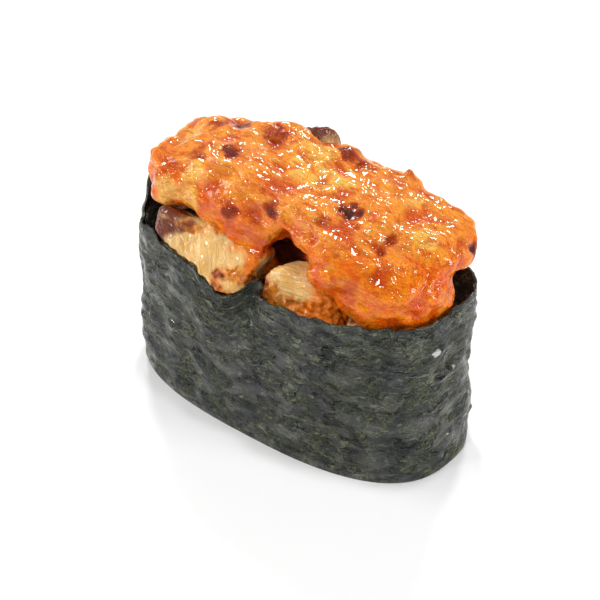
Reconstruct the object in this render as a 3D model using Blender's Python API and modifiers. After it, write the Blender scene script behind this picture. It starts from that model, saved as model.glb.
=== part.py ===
"""Gunkan sushi: a nori strip wound round rice, with pieces of grilled fish under a thick baked sauce.

Metres, +Z up. The origin is on the board, under the middle of the oval. +X runs along the oval to its
right-hand end, and -Y is the side that faces the viewer. Lengths below are written in millimetres.
"""

import math

import bmesh
import bpy
import numpy as np
from mathutils import Matrix, Vector, noise

MM = 0.001

# The oval that the nori is wound to, at the strip's outer face
LENGTH = 60.0
WIDTH = 30.2
SQUARENESS = 2.65

# The nori strip
NORI_HEIGHT = 28.8
NORI_THICKNESS = 0.5
RIM_TILT = 1.6
OVERLAP = 12.0
STRIP_END = 1.5
LAYER_STEP = NORI_THICKNESS + 0.35
CORNER_RISE = 8.0
CORNER_LENGTH = 10.0
RIM_RAGGED = 0.7
WALL_WAVE = 0.9
WALL_CRUMPLE = 0.4
STRIP_COLUMNS = 82
STRIP_ROWS = 7
# Between the left and the middle piece the rim leans in, under the left piece's tip it is pressed down,
# and near the left end it stands a little higher
FOLD_AT_X = -0.4
FOLD_LEAN = 3.6
FOLD_REACH = 2.6
FOLD_FROM_Z = 17.0
FOLD_RISE = 1.4
PRESSED_AT_X = -4.2
PRESSED_DEPTH = 2.8
PRESSED_REACH = 5.2
LIFTED_AT_X = -21.0
LIFTED_RISE = 1.5
LIFTED_REACH = 6.0

# What lies in the cup
CUP_GAP = 0.5
OVERHANG = 6.0
RIM_CLEARANCE = 1.3
RICE_TOP = 19.8
RICE_FLOOR = 1.3
RICE_SIDES = 56
RICE_LEVELS = 4
RICE_TOP_EDGE = 0.9
RICE_LOW_EDGE = 0.5
GRAIN_LENGTH = 6.2
GRAIN_WIDTH = 2.7
GRAIN_HEIGHT = 2.5
GRAIN_SPACING = 4.6
GRAIN_FROM_EDGE = 3.4
GRAIN_SCALES = (0.86, 1.04)
LOW_GRAIN_Z = 0.9
END_GRAINS = 6
END_GRAIN_SPACING = 4.2
END_GRAIN_PITCH = 0.15
PIECE_CUTS = 7
SCRAP_CUTS = 3
PIECE_RELIEF = 0.9
FLAKE_RELIEF = 0.2
FLAKES = 14.0

# The sauce is joined from lumps on this raster, then thinned to this many triangles
SAUCE_VOXEL = 0.6
SAUCE_TRIANGLES = 4900
SAUCE_CLEARANCE = 0.6
SAUCE_SMOOTHING = 3
LUMP_RELIEF = 1.1
FOLD_RELIEF = 0.5


def clear_scene():
    for obj in list(bpy.data.objects):
        bpy.data.objects.remove(obj, do_unlink=True)


def new_collection(name, rendered=True):
    made = bpy.data.collections.new(name)
    made.hide_render = not rendered
    bpy.context.scene.collection.children.link(made)
    return made


def material(name, colour, roughness):
    made = bpy.data.materials.new(name)
    made.use_nodes = True
    shader = made.node_tree.nodes["Principled BSDF"]
    shader.inputs["Base Color"].default_value = (*colour, 1.0)
    shader.inputs["Roughness"].default_value = roughness
    shader.inputs["Metallic"].default_value = 0.0
    made.diffuse_color = (*colour, 1.0)
    return made


def object_from(bm, name, collection):
    """Turns a bmesh in millimetres into an object in metres."""
    bmesh.ops.recalc_face_normals(bm, faces=bm.faces)
    bmesh.ops.scale(bm, vec=(MM, MM, MM), verts=bm.verts)
    mesh = bpy.data.meshes.new(name)
    bm.to_mesh(mesh)
    bm.free()
    obj = bpy.data.objects.new(name, mesh)
    collection.objects.link(obj)
    return obj


def apply_modifiers(obj):
    """Replaces the object's mesh with its evaluated one."""
    graph = bpy.context.evaluated_depsgraph_get()
    mesh = bpy.data.meshes.new_from_object(obj.evaluated_get(graph))
    obj.modifiers.clear()
    obj.data = mesh


def smoothstep(low, high, value):
    share = min(max((value - low) / (high - low), 0.0), 1.0)
    return share * share * (3.0 - 2.0 * share)


def noise_at(x, y, z, size, seed=0.0):
    """Soft noise between about -1 and 1, whose bumps are about `size` across."""
    return noise.noise(Vector((x / size + seed, y / size - seed, z / size + 2.0 * seed)))


def placed(centre, turn):
    """A place, and a turn about X, then Y, then Z, in degrees."""
    about_x, about_y, about_z = (math.radians(angle) for angle in turn)
    turned = Matrix.Rotation(about_y, 4, "Y") @ Matrix.Rotation(about_x, 4, "X")
    return Matrix.Translation(centre) @ Matrix.Rotation(about_z, 4, "Z") @ turned


def oval_table(steps=2880):
    """Points round the oval and the distance to each, from the left tip and along the far side first."""
    angles = np.linspace(math.pi, -math.pi, steps + 1)
    cosines, sines = np.cos(angles), np.sin(angles)
    power = 2.0 / SQUARENESS
    x = LENGTH / 2 * np.sign(cosines) * np.abs(cosines) ** power
    y = WIDTH / 2 * np.sign(sines) * np.abs(sines) ** power
    distance = np.concatenate([[0.0], np.cumsum(np.hypot(np.diff(x), np.diff(y)))])
    return x, y, distance


OVAL_X, OVAL_Y, OVAL_D = oval_table()
OVAL_TURN = np.arctan2(-OVAL_Y, OVAL_X)
OVAL_TURN[0] = -math.pi
OVAL_TURN[-1] = math.pi
PERIMETER = float(OVAL_D[-1])
STRIP_LENGTH = PERIMETER + OVERLAP


def oval(distance, inset=0.0):
    """The point that far round the oval, moved in by inset, and its outward normal."""
    ahead, behind = (distance + 0.4) % PERIMETER, (distance - 0.4) % PERIMETER
    here = distance % PERIMETER
    x, y = (float(np.interp(here, OVAL_D, line)) for line in (OVAL_X, OVAL_Y))
    dx = float(np.interp(ahead, OVAL_D, OVAL_X) - np.interp(behind, OVAL_D, OVAL_X))
    dy = float(np.interp(ahead, OVAL_D, OVAL_Y) - np.interp(behind, OVAL_D, OVAL_Y))
    out = Vector((-dy, dx)).normalized()
    return x - out.x * inset, y - out.y * inset, out


def wall_shift(x, y, z):
    """How far the nori stands out of the plain oval: waves, and a lean into the gap between two pieces."""
    wave = WALL_WAVE * noise_at(x, y, 0.6 * z, 8.5, 3.1) * smoothstep(0.0, 6.0, z)
    wave += WALL_CRUMPLE * noise_at(x, y, 0.8 * z, 3.6, 5.3) * smoothstep(0.0, 3.0, z)
    fold = bump_in_front(x, y, FOLD_AT_X, FOLD_REACH) * smoothstep(FOLD_FROM_Z, NORI_HEIGHT, z) ** 1.5
    return wave - FOLD_LEAN * fold


def bump_in_front(x, y, at_x, reach):
    """A share that rises to 1 at one place on the near side of the oval."""
    return math.exp(-(((x - at_x) / reach) ** 2)) if y < 0 else 0.0


def rim_height(x, y):
    ragged = RIM_RAGGED * noise_at(x, y, 0.0, 3.2, 7.7) + 0.5 * RIM_RAGGED * noise_at(x, y, 0.0, 1.3, 1.9)
    rise = FOLD_RISE * bump_in_front(x, y, FOLD_AT_X, FOLD_REACH) ** 2
    rise += LIFTED_RISE * bump_in_front(x, y, LIFTED_AT_X, LIFTED_REACH)
    pressed = PRESSED_DEPTH * bump_in_front(x, y, PRESSED_AT_X, PRESSED_REACH)
    return NORI_HEIGHT + RIM_TILT * x / (LENGTH / 2) + ragged + rise - pressed


def corner_rise(along):
    """The strip's free top corner is pulled up where it ends."""
    share = min(max((along - (STRIP_LENGTH - CORNER_LENGTH)) / CORNER_LENGTH, 0.0), 1.0)
    return CORNER_RISE * math.sin(share * math.pi / 2) ** 1.3


def layer_inset(distance):
    """The strip's first stretch lies one layer further in, under its free end, and then eases outwards."""
    return LAYER_STEP * (1.0 - smoothstep(OVERLAP + 1.0, OVERLAP + 14.0, distance))


def nori_point(along, height_share, depth):
    """A point of the wound strip, by the distance along it, the share of its height and the depth in it."""
    distance = along - OVERLAP + STRIP_END
    x0, y0, _ = oval(distance)
    top = rim_height(x0, y0) + corner_rise(along)
    z = top * height_share
    inset = depth + layer_inset(along) - wall_shift(x0, y0, z)
    x, y, _ = oval(distance, inset)
    return Vector((x, y, z))


def make_nori(collection, finish):
    """A flat slab, one strip long, wound round the oval with its ends overlapping."""
    bm = bmesh.new()
    bmesh.ops.create_grid(bm, x_segments=STRIP_COLUMNS, y_segments=STRIP_ROWS, size=0.5)
    bmesh.ops.solidify(bm, geom=bm.faces[:], thickness=1.0)
    low = min(v.co.z for v in bm.verts)
    for v in bm.verts:
        v.co = nori_point((v.co.x + 0.5) * STRIP_LENGTH, v.co.y + 0.5, (v.co.z - low) * NORI_THICKNESS)
    bmesh.ops.triangulate(bm, faces=bm.faces)
    nori = object_from(bm, "nori", collection)
    nori.data.materials.append(finish)
    nori.data.shade_smooth()


def cup_inset(distance, z):
    """How far the filling stays inside the oval, so that it clears the nori all round."""
    x, y, _ = oval(distance)
    along = (distance + OVERLAP - STRIP_END) % PERIMETER
    before_strip_end = LAYER_STEP * smoothstep(PERIMETER - 5.0, PERIMETER - 2.5, along)
    return NORI_THICKNESS + CUP_GAP + layer_inset(along) + before_strip_end - wall_shift(x, y, z)


def oval_span(x_share, y_share):
    """How far out a point is, as a share of the way from the middle to the oval."""
    return (abs(x_share) ** SQUARENESS + abs(y_share) ** SQUARENESS) ** (1 / SQUARENESS)


def held_in_cup(point):
    """The point, drawn in to clear the nori where it is below the rim. Above it, it may reach out over it."""
    x, y, z = point
    half_l, half_w = LENGTH / 2, WIDTH / 2
    span = oval_span(x / half_l, y / half_w)
    if span < 0.5:
        return point
    rim_x, rim_y = x / span, y / span
    distance = float(np.interp(-math.atan2(rim_y, rim_x), OVAL_TURN, OVAL_D))
    over = smoothstep(RIM_CLEARANCE, RIM_CLEARANCE + 1.2, z - rim_height(rim_x, rim_y))
    inset = cup_inset(distance, z) - OVERHANG * over
    held_span = oval_span(x / (half_l - inset), y / (half_w - inset))
    return Vector((x / max(held_span, 1.0), y / max(held_span, 1.0), z))


def grain(bm, centre, heading, pitch, scale=1.0):
    """One rice grain with few sides."""
    place = Matrix.Translation(centre) @ Matrix.Rotation(heading, 4, "Z") @ Matrix.Rotation(pitch, 4, "Y")
    made = bmesh.ops.create_uvsphere(bm, u_segments=6, v_segments=4, radius=0.5)
    shape = Matrix.Diagonal((GRAIN_LENGTH * scale, GRAIN_WIDTH * scale, GRAIN_HEIGHT * scale, 1.0))
    turned = Matrix.Rotation(math.pi / 2, 4, "Y")
    bmesh.ops.transform(bm, matrix=place @ shape @ turned, verts=made["verts"])
    for v in made["verts"]:
        v.co = held_in_cup(v.co)


def grain_places(rng):
    """Scattered places inside the oval, one of them at its middle and no two close together."""
    found = [(0.0, 0.0)]
    half_l, half_w = LENGTH / 2 - GRAIN_FROM_EDGE, WIDTH / 2 - GRAIN_FROM_EDGE
    for _ in range(1500):
        x, y = rng.uniform(-half_l, half_l), rng.uniform(-half_w, half_w)
        inside = oval_span(x / half_l, y / half_w) < 1.0
        if inside and all(math.hypot(x - a, y - b) > GRAIN_SPACING for a, b in found):
            found.append((x, y))
    return found


def rice_core(collection):
    """A block that follows the inside of the nori."""
    bm = bmesh.new()
    bmesh.ops.create_cone(bm, cap_ends=True, segments=RICE_SIDES, radius1=1.0, radius2=1.0, depth=1.0)
    upright = [e for e in bm.edges if abs(e.verts[0].co.z - e.verts[1].co.z) > 0.5]
    bmesh.ops.subdivide_edges(bm, edges=upright, cuts=RICE_LEVELS - 1)
    for v in bm.verts:
        distance = (math.pi - math.atan2(v.co.y, v.co.x)) / (2 * math.pi) * PERIMETER
        z = RICE_FLOOR + (v.co.z + 0.5) * (RICE_TOP - RICE_FLOOR)
        edge = RICE_TOP_EDGE if v.co.z > 0.49 else RICE_LOW_EDGE if v.co.z < -0.49 else 0.0
        x, y, _ = oval(distance, cup_inset(distance, z) + edge)
        v.co = (x, y, z)
    caps = [f for f in bm.faces if len(f.verts) > 4]
    bmesh.ops.triangulate(bm, faces=caps)
    return object_from(bm, "rice", collection)


def make_rice(collection, helpers, finish):
    """The core with grains fused on below, where it shows from underneath, and on top at its two ends."""
    rng = np.random.default_rng(11)
    rice = rice_core(collection)
    grains = new_collection("rice_grains", rendered=False)
    places = [(x, y, LOW_GRAIN_Z, 0.0) for x, y in grain_places(rng)]
    for index in range(2 * END_GRAINS):
        tip = PERIMETER / 2 if index < END_GRAINS else 0.0
        distance = tip + (index % END_GRAINS - 0.5 * (END_GRAINS - 1)) * END_GRAIN_SPACING
        x, y, _ = oval(distance, GRAIN_FROM_EDGE + rng.uniform(0.2, 1.8))
        places.append((x, y, RICE_TOP - 0.3, rng.uniform(-END_GRAIN_PITCH, END_GRAIN_PITCH)))
    for index, (x, y, z, pitch) in enumerate(places):
        bm = bmesh.new()
        grain(bm, Vector((x, y, z)), rng.uniform(0.0, math.pi), pitch, rng.uniform(*GRAIN_SCALES))
        object_from(bm, f"grain_{index}", grains)
    join = rice.modifiers.new("grains", "BOOLEAN")
    join.operation = "UNION"
    join.operand_type = "COLLECTION"
    join.collection = grains
    join.solver = "EXACT"
    apply_modifiers(rice)
    for obj in list(grains.objects):
        bpy.data.objects.remove(obj, do_unlink=True)
    board = bounding_block("board", (0.0, 0.0, -5.0), (LENGTH, WIDTH, 10.0), helpers)
    cut(rice, board)
    rice.data.materials.clear()
    rice.data.materials.append(finish)


def bounding_block(name, centre, size, collection):
    bm = bmesh.new()
    bmesh.ops.create_cube(bm, size=1.0)
    bmesh.ops.transform(bm, matrix=Matrix.Translation(centre) @ Matrix.Diagonal((*size, 1.0)), verts=bm.verts)
    return helper_look(object_from(bm, name, collection))


def helper_look(obj):
    obj.hide_render = True
    obj.display_type = "WIRE"
    return obj


def cut(obj, cutter):
    step = obj.modifiers.new("cut", "BOOLEAN")
    step.operation = "DIFFERENCE"
    step.object = cutter
    step.solver = "MANIFOLD"
    apply_modifiers(obj)


def grown(obj, gap, helpers):
    """A copy of the object, fatter by gap all round, to cut a neighbour clear of it."""
    bm = bmesh.new()
    bm.from_mesh(obj.data)
    bm.normal_update()
    moves = [v.normal * gap * MM * v.calc_shell_factor() for v in bm.verts]
    for v, move in zip(bm.verts, moves):
        v.co += move
    mesh = bpy.data.meshes.new(obj.name + "_grown")
    bm.to_mesh(mesh)
    bm.free()
    made = bpy.data.objects.new(mesh.name, mesh)
    helpers.objects.link(made)
    return helper_look(made)


# Each piece of fish by its corners: the face that shows, clockwise from its top left, then the face behind
FISH = {
    "fish_left": (
        ((-22.4, -9.8, 32.9), (0.6, -8.6, 33.6), (-3.4, -16.4, 25.4), (-22.2, -13.0, 30.1)),
        ((-18.5, -4.5, 30.0), (-2.6, -3.0, 29.5), (-3.0, -10.0, 22.4), (-21.0, -5.0, 22.4)),
    ),
    "fish_middle": (
        ((-0.2, -10.5, 32.4), (15.0, -10.2, 32.2), (17.0, -14.0, 24.4), (0.6, -14.6, 24.6)),
        ((5.2, -3.6, 31.6), (14.0, -3.2, 31.4), (15.0, -6.0, 22.6), (3.0, -6.0, 22.6)),
    ),
    "fish_back": (
        ((-3.6, 13.4, 43.6), (-10.6, 12.6, 42.2), (-15.0, 14.2, 24.0), (0.4, 14.2, 24.0)),
        ((-3.8, 9.4, 42.0), (-10.4, 9.0, 41.0), (-13.0, 6.6, 22.8), (-0.6, 6.6, 22.8)),
    ),
    "fish_scrap": (
        ((17.4, -9.6, 29.6), (21.6, -9.0, 29.4), (22.2, -11.6, 24.0), (18.0, -12.4, 24.0)),
        ((17.4, -7.4, 29.0), (21.2, -7.2, 28.8), (21.6, -8.6, 23.4), (18.0, -8.8, 23.4)),
    ),
}
PIECE_SQUARENESS = {"fish_left": 6.0, "fish_middle": 3.4, "fish_back": 6.0, "fish_scrap": 6.0}

# Lumps of the sauce crust: centre, radii, turn about X, Y and Z in degrees, and squareness
SAUCE_LUMPS = {
    "plateau": ((0.0, 1.7, 38.2), (24.6, 10.3, 4.3), (0, 0, 0), 3.2),
    "left_shoulder": ((-18.8, 0.2, 35.8), (9.4, 9.0, 4.8), (0, 0, 0), 3.4),
    "left_lip": ((-23.4, -2.6, 34.2), (4.6, 5.4, 4.2), (0, 0, 10), 2.4),
    "left_apron": ((-10.5, -5.2, 36.4), (13.0, 5.6, 3.6), (32, 0, -8), 2.6),
    "apron_end": ((-1.4, -8.3, 34.2), (5.4, 3.4, 1.6), (46, 0, -4), 2.4),
    "bridge": ((3.4, -3.4, 38.6), (8.0, 4.6, 3.2), (0, 0, -16), 2.4),
    "middle_apron": ((11.6, -5.6, 38.2), (6.4, 5.0, 3.2), (0, 0, 0), 2.2),
    "middle_flow": ((12.6, -7.4, 33.8), (4.4, 4.4, 3.4), (0, 0, 0), 2.2),
    "right_lump": ((20.0, -3.4, 32.4), (9.4, 7.8, 7.8), (0, 0, 14), 2.4),
    "right_lobe": ((22.8, 4.2, 38.2), (6.6, 7.4, 3.6), (0, 0, 30), 2.4),
    "back_left": ((-18.0, 6.6, 35.4), (8.4, 5.6, 6.0), (0, 0, 6), 2.6),
    "back_right": ((12.4, 8.4, 36.0), (12.0, 5.0, 6.4), (0, 0, -6), 2.6),
    "back_ridge": ((-7.0, 8.2, 39.4), (11.0, 5.0, 3.7), (0, 0, 0), 3.0),
    "body": ((0.0, 2.6, 29.6), (22.5, 7.8, 8.4), (0, 0, 0), 3.4),
}
# A flake of baked skin that stands up at the far edge: centre, radii, turn and squareness
SKIN_FLAKE = ((12.8, 11.4, 42.2), (1.5, 0.9, 2.2), (0, 0, 0), 2.4)
# The dark pocket between the left and the middle piece, under the bridge
POCKET = ((3.6, -9.0, 33.2), (3.2, 7.0, 4.0), (30, 0, -16), 2.2)


def eased(point, square):
    """A point of the cube from -1 to 1, moved on to a block with rounded edges."""
    reach = sum(abs(c) ** square for c in point) ** (1 / square)
    return point / reach


def piece_point(corners, p):
    """The point of a piece for a point of the cube from -1 to 1: X runs right, Y away from the face, Z up."""
    (top_left, top_right, low_right, low_left), behind = corners
    across, back, up = (0.5 * (c + 1.0) for c in p)
    face = Vector(top_left).lerp(Vector(top_right), across)
    face = Vector(low_left).lerp(Vector(low_right), across).lerp(face, up)
    top_left, top_right, low_right, low_left = behind
    rear = Vector(top_left).lerp(Vector(top_right), across)
    rear = Vector(low_left).lerp(Vector(low_right), across).lerp(rear, up)
    return face.lerp(rear, back)


def fish_piece(name, corners, collection, finish, cuts, seed):
    """A piece of fish: a block with eased edges, uneven sides and the low ridges of its flakes."""
    bm = bmesh.new()
    bmesh.ops.create_cube(bm, size=2.0)
    bmesh.ops.subdivide_edges(bm, edges=bm.edges, cuts=cuts, use_grid_fill=True)
    middle = piece_point(corners, Vector((0.0, 0.0, 0.0)))
    for v in bm.verts:
        p = eased(v.co, PIECE_SQUARENESS[name])
        place = piece_point(corners, p)
        flake = FLAKE_RELIEF * math.sin(FLAKES * p.x + 2.0 * noise_at(*place, 6.0, seed))
        lump = PIECE_RELIEF * noise_at(*place, 4.5, seed + 5.0)
        v.co = held_in_cup(place + (place - middle).normalized() * (flake + lump))
    made = object_from(bm, name, collection)
    made.data.materials.append(finish)
    made.data.shade_smooth()
    return made


def lump_shape(bm, centre, radii, turn, square):
    """A ball pressed towards a block by squareness."""
    made = bmesh.ops.create_icosphere(bm, subdivisions=4, radius=1.0)
    for v in made["verts"]:
        v.co = eased(v.co, square)
    bmesh.ops.transform(bm, matrix=placed(centre, turn) @ Matrix.Diagonal((*radii, 1.0)), verts=made["verts"])


def wrinkle(point):
    """Relief of the baked skin: slow lumps with sharper folds that run along the piece."""
    x, y, z = point
    lumps = LUMP_RELIEF * noise_at(x, y, z, 6.5, 2.3)
    folds = 1.0 - abs(2.6 * noise_at(0.45 * x + 0.3 * y, y, z, 2.6, 6.1))
    return lumps + FOLD_RELIEF * (folds - 0.5)


def joined(obj):
    """Makes one closed skin of everything in the mesh, and softens it a little."""
    join = obj.modifiers.new("join", "REMESH")
    join.mode = "VOXEL"
    join.voxel_size = SAUCE_VOXEL * MM
    soften = obj.modifiers.new("soften", "SMOOTH")
    soften.factor = 0.5
    soften.iterations = SAUCE_SMOOTHING
    apply_modifiers(obj)


def make_sauce(collection, helpers, neighbours, finish):
    """The crust: lumps joined and wrinkled, then cut clear of the pieces under it and held inside the rim."""
    bm = bmesh.new()
    for lump in SAUCE_LUMPS.values():
        lump_shape(bm, *lump)
    lump_shape(bm, *SKIN_FLAKE)
    sauce = object_from(bm, "baked_sauce", collection)
    joined(sauce)
    moves = [(v, v.normal * wrinkle(v.co / MM) * MM) for v in sauce.data.vertices]
    for v, move in moves:
        v.co += move
    joined(sauce)
    pocket = bmesh.new()
    lump_shape(pocket, *POCKET)
    cut(sauce, helper_look(object_from(pocket, "pocket", helpers)))
    for piece in neighbours:
        cut(sauce, grown(piece, SAUCE_CLEARANCE, helpers))
    for v in sauce.data.vertices:
        v.co = held_in_cup(v.co / MM) * MM
    joined(sauce)
    thin_to(sauce, SAUCE_TRIANGLES)
    sauce.data.materials.clear()
    sauce.data.materials.append(finish)
    sauce.data.shade_smooth()


def thin_to(obj, triangles):
    obj.data.calc_loop_triangles()
    thin = obj.modifiers.new("thin", "DECIMATE")
    thin.ratio = min(1.0, triangles / len(obj.data.loop_triangles))
    thin.use_collapse_triangulate = True
    apply_modifiers(obj)


def main():
    clear_scene()
    parts = new_collection("gunkan_sushi")
    helpers = new_collection("cutters", rendered=False)
    nori_finish = material("nori", (0.035, 0.045, 0.035), 0.45)
    rice_finish = material("rice", (0.84, 0.81, 0.72), 0.4)
    fish_finish = material("fish", (0.74, 0.50, 0.22), 0.4)
    sauce_finish = material("sauce", (0.85, 0.30, 0.05), 0.3)

    make_nori(parts, nori_finish)
    make_rice(parts, helpers, rice_finish)
    pieces = []
    for index, (name, corners) in enumerate(FISH.items()):
        cuts = SCRAP_CUTS if name == "fish_scrap" else PIECE_CUTS
        pieces.append(fish_piece(name, corners, parts, fish_finish, cuts, 1.7 * index + 0.3))
    make_sauce(parts, helpers, pieces, sauce_finish)


main()
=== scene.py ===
"""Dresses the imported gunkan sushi: nori, rice, grilled fish, a baked sauce, and a plain pale studio.

The frame is in metres, +Z up. Shapes are worked out in millimetres, as the sizes below are, and then
brought to metres. The origin is on the board, +X runs along the oval and -Y faces the viewer.
"""

import functools
import math

import bmesh
import bpy
import numpy as np
from bpy.props import FloatProperty, FloatVectorProperty, IntProperty, PointerProperty
from mathutils import Matrix, Vector, noise


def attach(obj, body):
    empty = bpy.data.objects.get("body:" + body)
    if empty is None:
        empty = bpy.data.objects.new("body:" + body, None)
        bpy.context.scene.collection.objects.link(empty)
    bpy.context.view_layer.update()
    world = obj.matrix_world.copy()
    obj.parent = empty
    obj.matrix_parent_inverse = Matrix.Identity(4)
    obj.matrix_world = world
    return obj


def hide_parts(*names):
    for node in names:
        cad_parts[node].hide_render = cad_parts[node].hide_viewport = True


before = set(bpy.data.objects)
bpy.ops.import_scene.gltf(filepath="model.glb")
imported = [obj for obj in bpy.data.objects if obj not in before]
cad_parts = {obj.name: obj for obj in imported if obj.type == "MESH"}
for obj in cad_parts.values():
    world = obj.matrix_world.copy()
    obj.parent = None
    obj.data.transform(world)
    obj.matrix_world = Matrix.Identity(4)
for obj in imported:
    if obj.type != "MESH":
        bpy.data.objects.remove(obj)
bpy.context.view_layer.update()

bl_info = {
    "name": "Gunkan sushi",
    "version": (1, 0, 0),
    "blender": (4, 5, 0),
    "location": "View3D > Sidebar > Gunkan sushi",
    "description": "Dresses a packed gunkan sushi and sets a plain studio round it",
    "category": "Object",
}

MM = 0.001

# The oval that the nori is wound to, at the strip's outer face
LENGTH = 60.0
WIDTH = 30.2
SQUARENESS = 2.65
# How far ahead of a point and behind it the oval's direction is taken
DIRECTION_STEP = 0.4

# The nori strip, as wide and as long as the solid's
NORI_HEIGHT = 28.8
RIM_TILT = 1.6
OVERLAP = 12.0
STRIP_END = 1.5
LAYER_STEP = 0.85
# How far past the overlap the strip's first stretch begins to ease out, and where it is out
EASE_FROM, EASE_TO = 1.0, 14.0
CORNER_RISE = 8.0
CORNER_LENGTH = 10.0
RIM_RAGGED = 0.5
RIM_RAGGED_SIZE = 3.2
RIM_NICKS = 0.16
WALL_WAVE = 0.9
WALL_WAVE_SIZE = 8.5
WALL_CRUMPLE = 0.4
WALL_CRUMPLE_SIZE = 3.6
FOLD_AT_X = -0.4
FOLD_LEAN = 3.6
FOLD_REACH = 2.6
FOLD_FROM_Z = 17.0
FOLD_RISE = 1.4
PRESSED_AT_X = -4.2
PRESSED_DEPTH = 2.8
PRESSED_REACH = 5.2
LIFTED_AT_X = -21.0
LIFTED_RISE = 1.5
LIFTED_REACH = 6.0
FOLD_SLANT = 0.3
SLANTED_FROM = 105.0
STRIP_COLUMNS = 480
STRIP_ROWS = 84

# What lies in the cup
SOLID_WALL = 0.5
CUP_GAP = 0.5
# How far before the strip's inner end the filling begins to draw in, and where it is in
STEP_FROM, STEP_TO = 5.0, 2.5
OVERHANG = 6.0
# A point closer to the middle than this share needs no holding
HELD_FROM = 0.5
RIM_CLEARANCE = 0.15
RIM_EASE = 0.9
RICE_TOP = 19.8
RICE_FLOOR = 1.3
RICE_SIDES = 120
RICE_LEVELS = 10
CORE_GAP = 0.4
CORE_RELIEF = 0.5
GRAIN_SEED = 23
GRAIN_TRIES = 3000
GRAIN_FROM_EDGE = 2.6
GRAIN_SCALES = (0.84, 1.06)
GRAIN_LIFTS = (-0.2, 0.3)
GRAIN_DEPTH = 0.92
GRAIN_BEND = 0.22
GRAIN_TOP = RICE_TOP + 1.6
# Each layer of grains: its height, and how far its grains may tip, in radians
GRAIN_LAYERS = ((1.0, 0.12), (RICE_TOP - 0.2, 0.35))


def smoothstep(low, high, value):
    share = min(max((value - low) / (high - low), 0.0), 1.0)
    return share * share * (3.0 - 2.0 * share)


def noise_at(x, y, z, size, seed=0.0):
    """Soft noise from about -1 to 1, with bumps about `size` across. Each use has a seed of its own."""
    return noise.noise(Vector((x / size + seed, y / size - seed, z / size + 2.0 * seed)))


def ridge_at(x, y, z, size, seed=0.0):
    """Sharp crests, near 1, with round valleys between them, as skin shows when it shrinks."""
    return 1.0 - abs(2.8 * noise_at(x, y, z, size, seed))


def oval_table(steps=2880):
    """Points round the oval and how far along each one is, from the left tip and the far side first."""
    angles = np.linspace(math.pi, -math.pi, steps + 1)
    cosines, sines = np.cos(angles), np.sin(angles)
    power = 2.0 / SQUARENESS
    x = LENGTH / 2 * np.sign(cosines) * np.abs(cosines) ** power
    y = WIDTH / 2 * np.sign(sines) * np.abs(sines) ** power
    distance = np.concatenate([[0.0], np.cumsum(np.hypot(np.diff(x), np.diff(y)))])
    return x, y, distance


OVAL_X, OVAL_Y, OVAL_D = oval_table()
OVAL_TURN = np.arctan2(-OVAL_Y, OVAL_X)
OVAL_TURN[0] = -math.pi
OVAL_TURN[-1] = math.pi
PERIMETER = float(OVAL_D[-1])
STRIP_LENGTH = PERIMETER + OVERLAP


@functools.lru_cache(maxsize=8192)
def oval_place(distance):
    """The point that far round the oval, and its outward normal."""
    ahead, behind = (distance + DIRECTION_STEP) % PERIMETER, (distance - DIRECTION_STEP) % PERIMETER
    here = distance % PERIMETER
    x, y = (float(np.interp(here, OVAL_D, line)) for line in (OVAL_X, OVAL_Y))
    dx = float(np.interp(ahead, OVAL_D, OVAL_X) - np.interp(behind, OVAL_D, OVAL_X))
    dy = float(np.interp(ahead, OVAL_D, OVAL_Y) - np.interp(behind, OVAL_D, OVAL_Y))
    size = math.hypot(dx, dy)
    return x, y, -dy / size, dx / size


def oval(distance, inset):
    """The point that far round the oval, moved in by inset."""
    x, y, out_x, out_y = oval_place(round(distance, 3))
    return x - out_x * inset, y - out_y * inset


def bump_in_front(x, y, at_x, reach):
    """A share that rises to 1 at one place on the near side of the oval."""
    return math.exp(-(((x - at_x) / reach) ** 2)) if y < 0 else 0.0


def wall_shift(x, y, z):
    """How far the nori stands out of the plain oval: waves, and a lean into the gap in the fish."""
    wave = WALL_WAVE * noise_at(x, y, 0.6 * z, WALL_WAVE_SIZE, 3.1) * smoothstep(0.0, 6.0, z)
    crumple = WALL_CRUMPLE * noise_at(x, y, 0.8 * z, WALL_CRUMPLE_SIZE, 5.3)
    wave += crumple * smoothstep(0.0, 3.0, z)
    fold = bump_in_front(x, y, FOLD_AT_X, FOLD_REACH) * smoothstep(FOLD_FROM_Z, NORI_HEIGHT, z) ** 1.5
    return wave - FOLD_LEAN * fold


def rim_height(x, y):
    ragged = RIM_RAGGED * noise_at(x, y, 0.0, RIM_RAGGED_SIZE, 7.7)
    ragged += 0.5 * RIM_RAGGED * noise_at(x, y, 0.0, 1.3, 1.9)
    rise = FOLD_RISE * bump_in_front(x, y, FOLD_AT_X, FOLD_REACH) ** 2
    rise += LIFTED_RISE * bump_in_front(x, y, LIFTED_AT_X, LIFTED_REACH)
    pressed = PRESSED_DEPTH * bump_in_front(x, y, PRESSED_AT_X, PRESSED_REACH)
    return NORI_HEIGHT + RIM_TILT * x / (LENGTH / 2) + ragged + rise - pressed


def corner_rise(along):
    """The strip's free top corner is pulled up where it ends."""
    share = min(max((along - (STRIP_LENGTH - CORNER_LENGTH)) / CORNER_LENGTH, 0.0), 1.0)
    return CORNER_RISE * math.sin(share * math.pi / 2) ** 1.3


def layer_inset(distance):
    """The strip's first stretch lies a layer further in, under its free end, and then eases out."""
    return LAYER_STEP * (1.0 - smoothstep(OVERLAP + EASE_FROM, OVERLAP + EASE_TO, distance))


def cup_inset(distance, z):
    """How far the filling stays inside the oval, so that it clears the nori all round."""
    x, y = oval(distance, 0.0)
    along = (distance + OVERLAP - STRIP_END) % PERIMETER
    before_strip_end = LAYER_STEP * smoothstep(PERIMETER - STEP_FROM, PERIMETER - STEP_TO, along)
    return SOLID_WALL + CUP_GAP + layer_inset(along) + before_strip_end - wall_shift(x, y, z)


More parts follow.
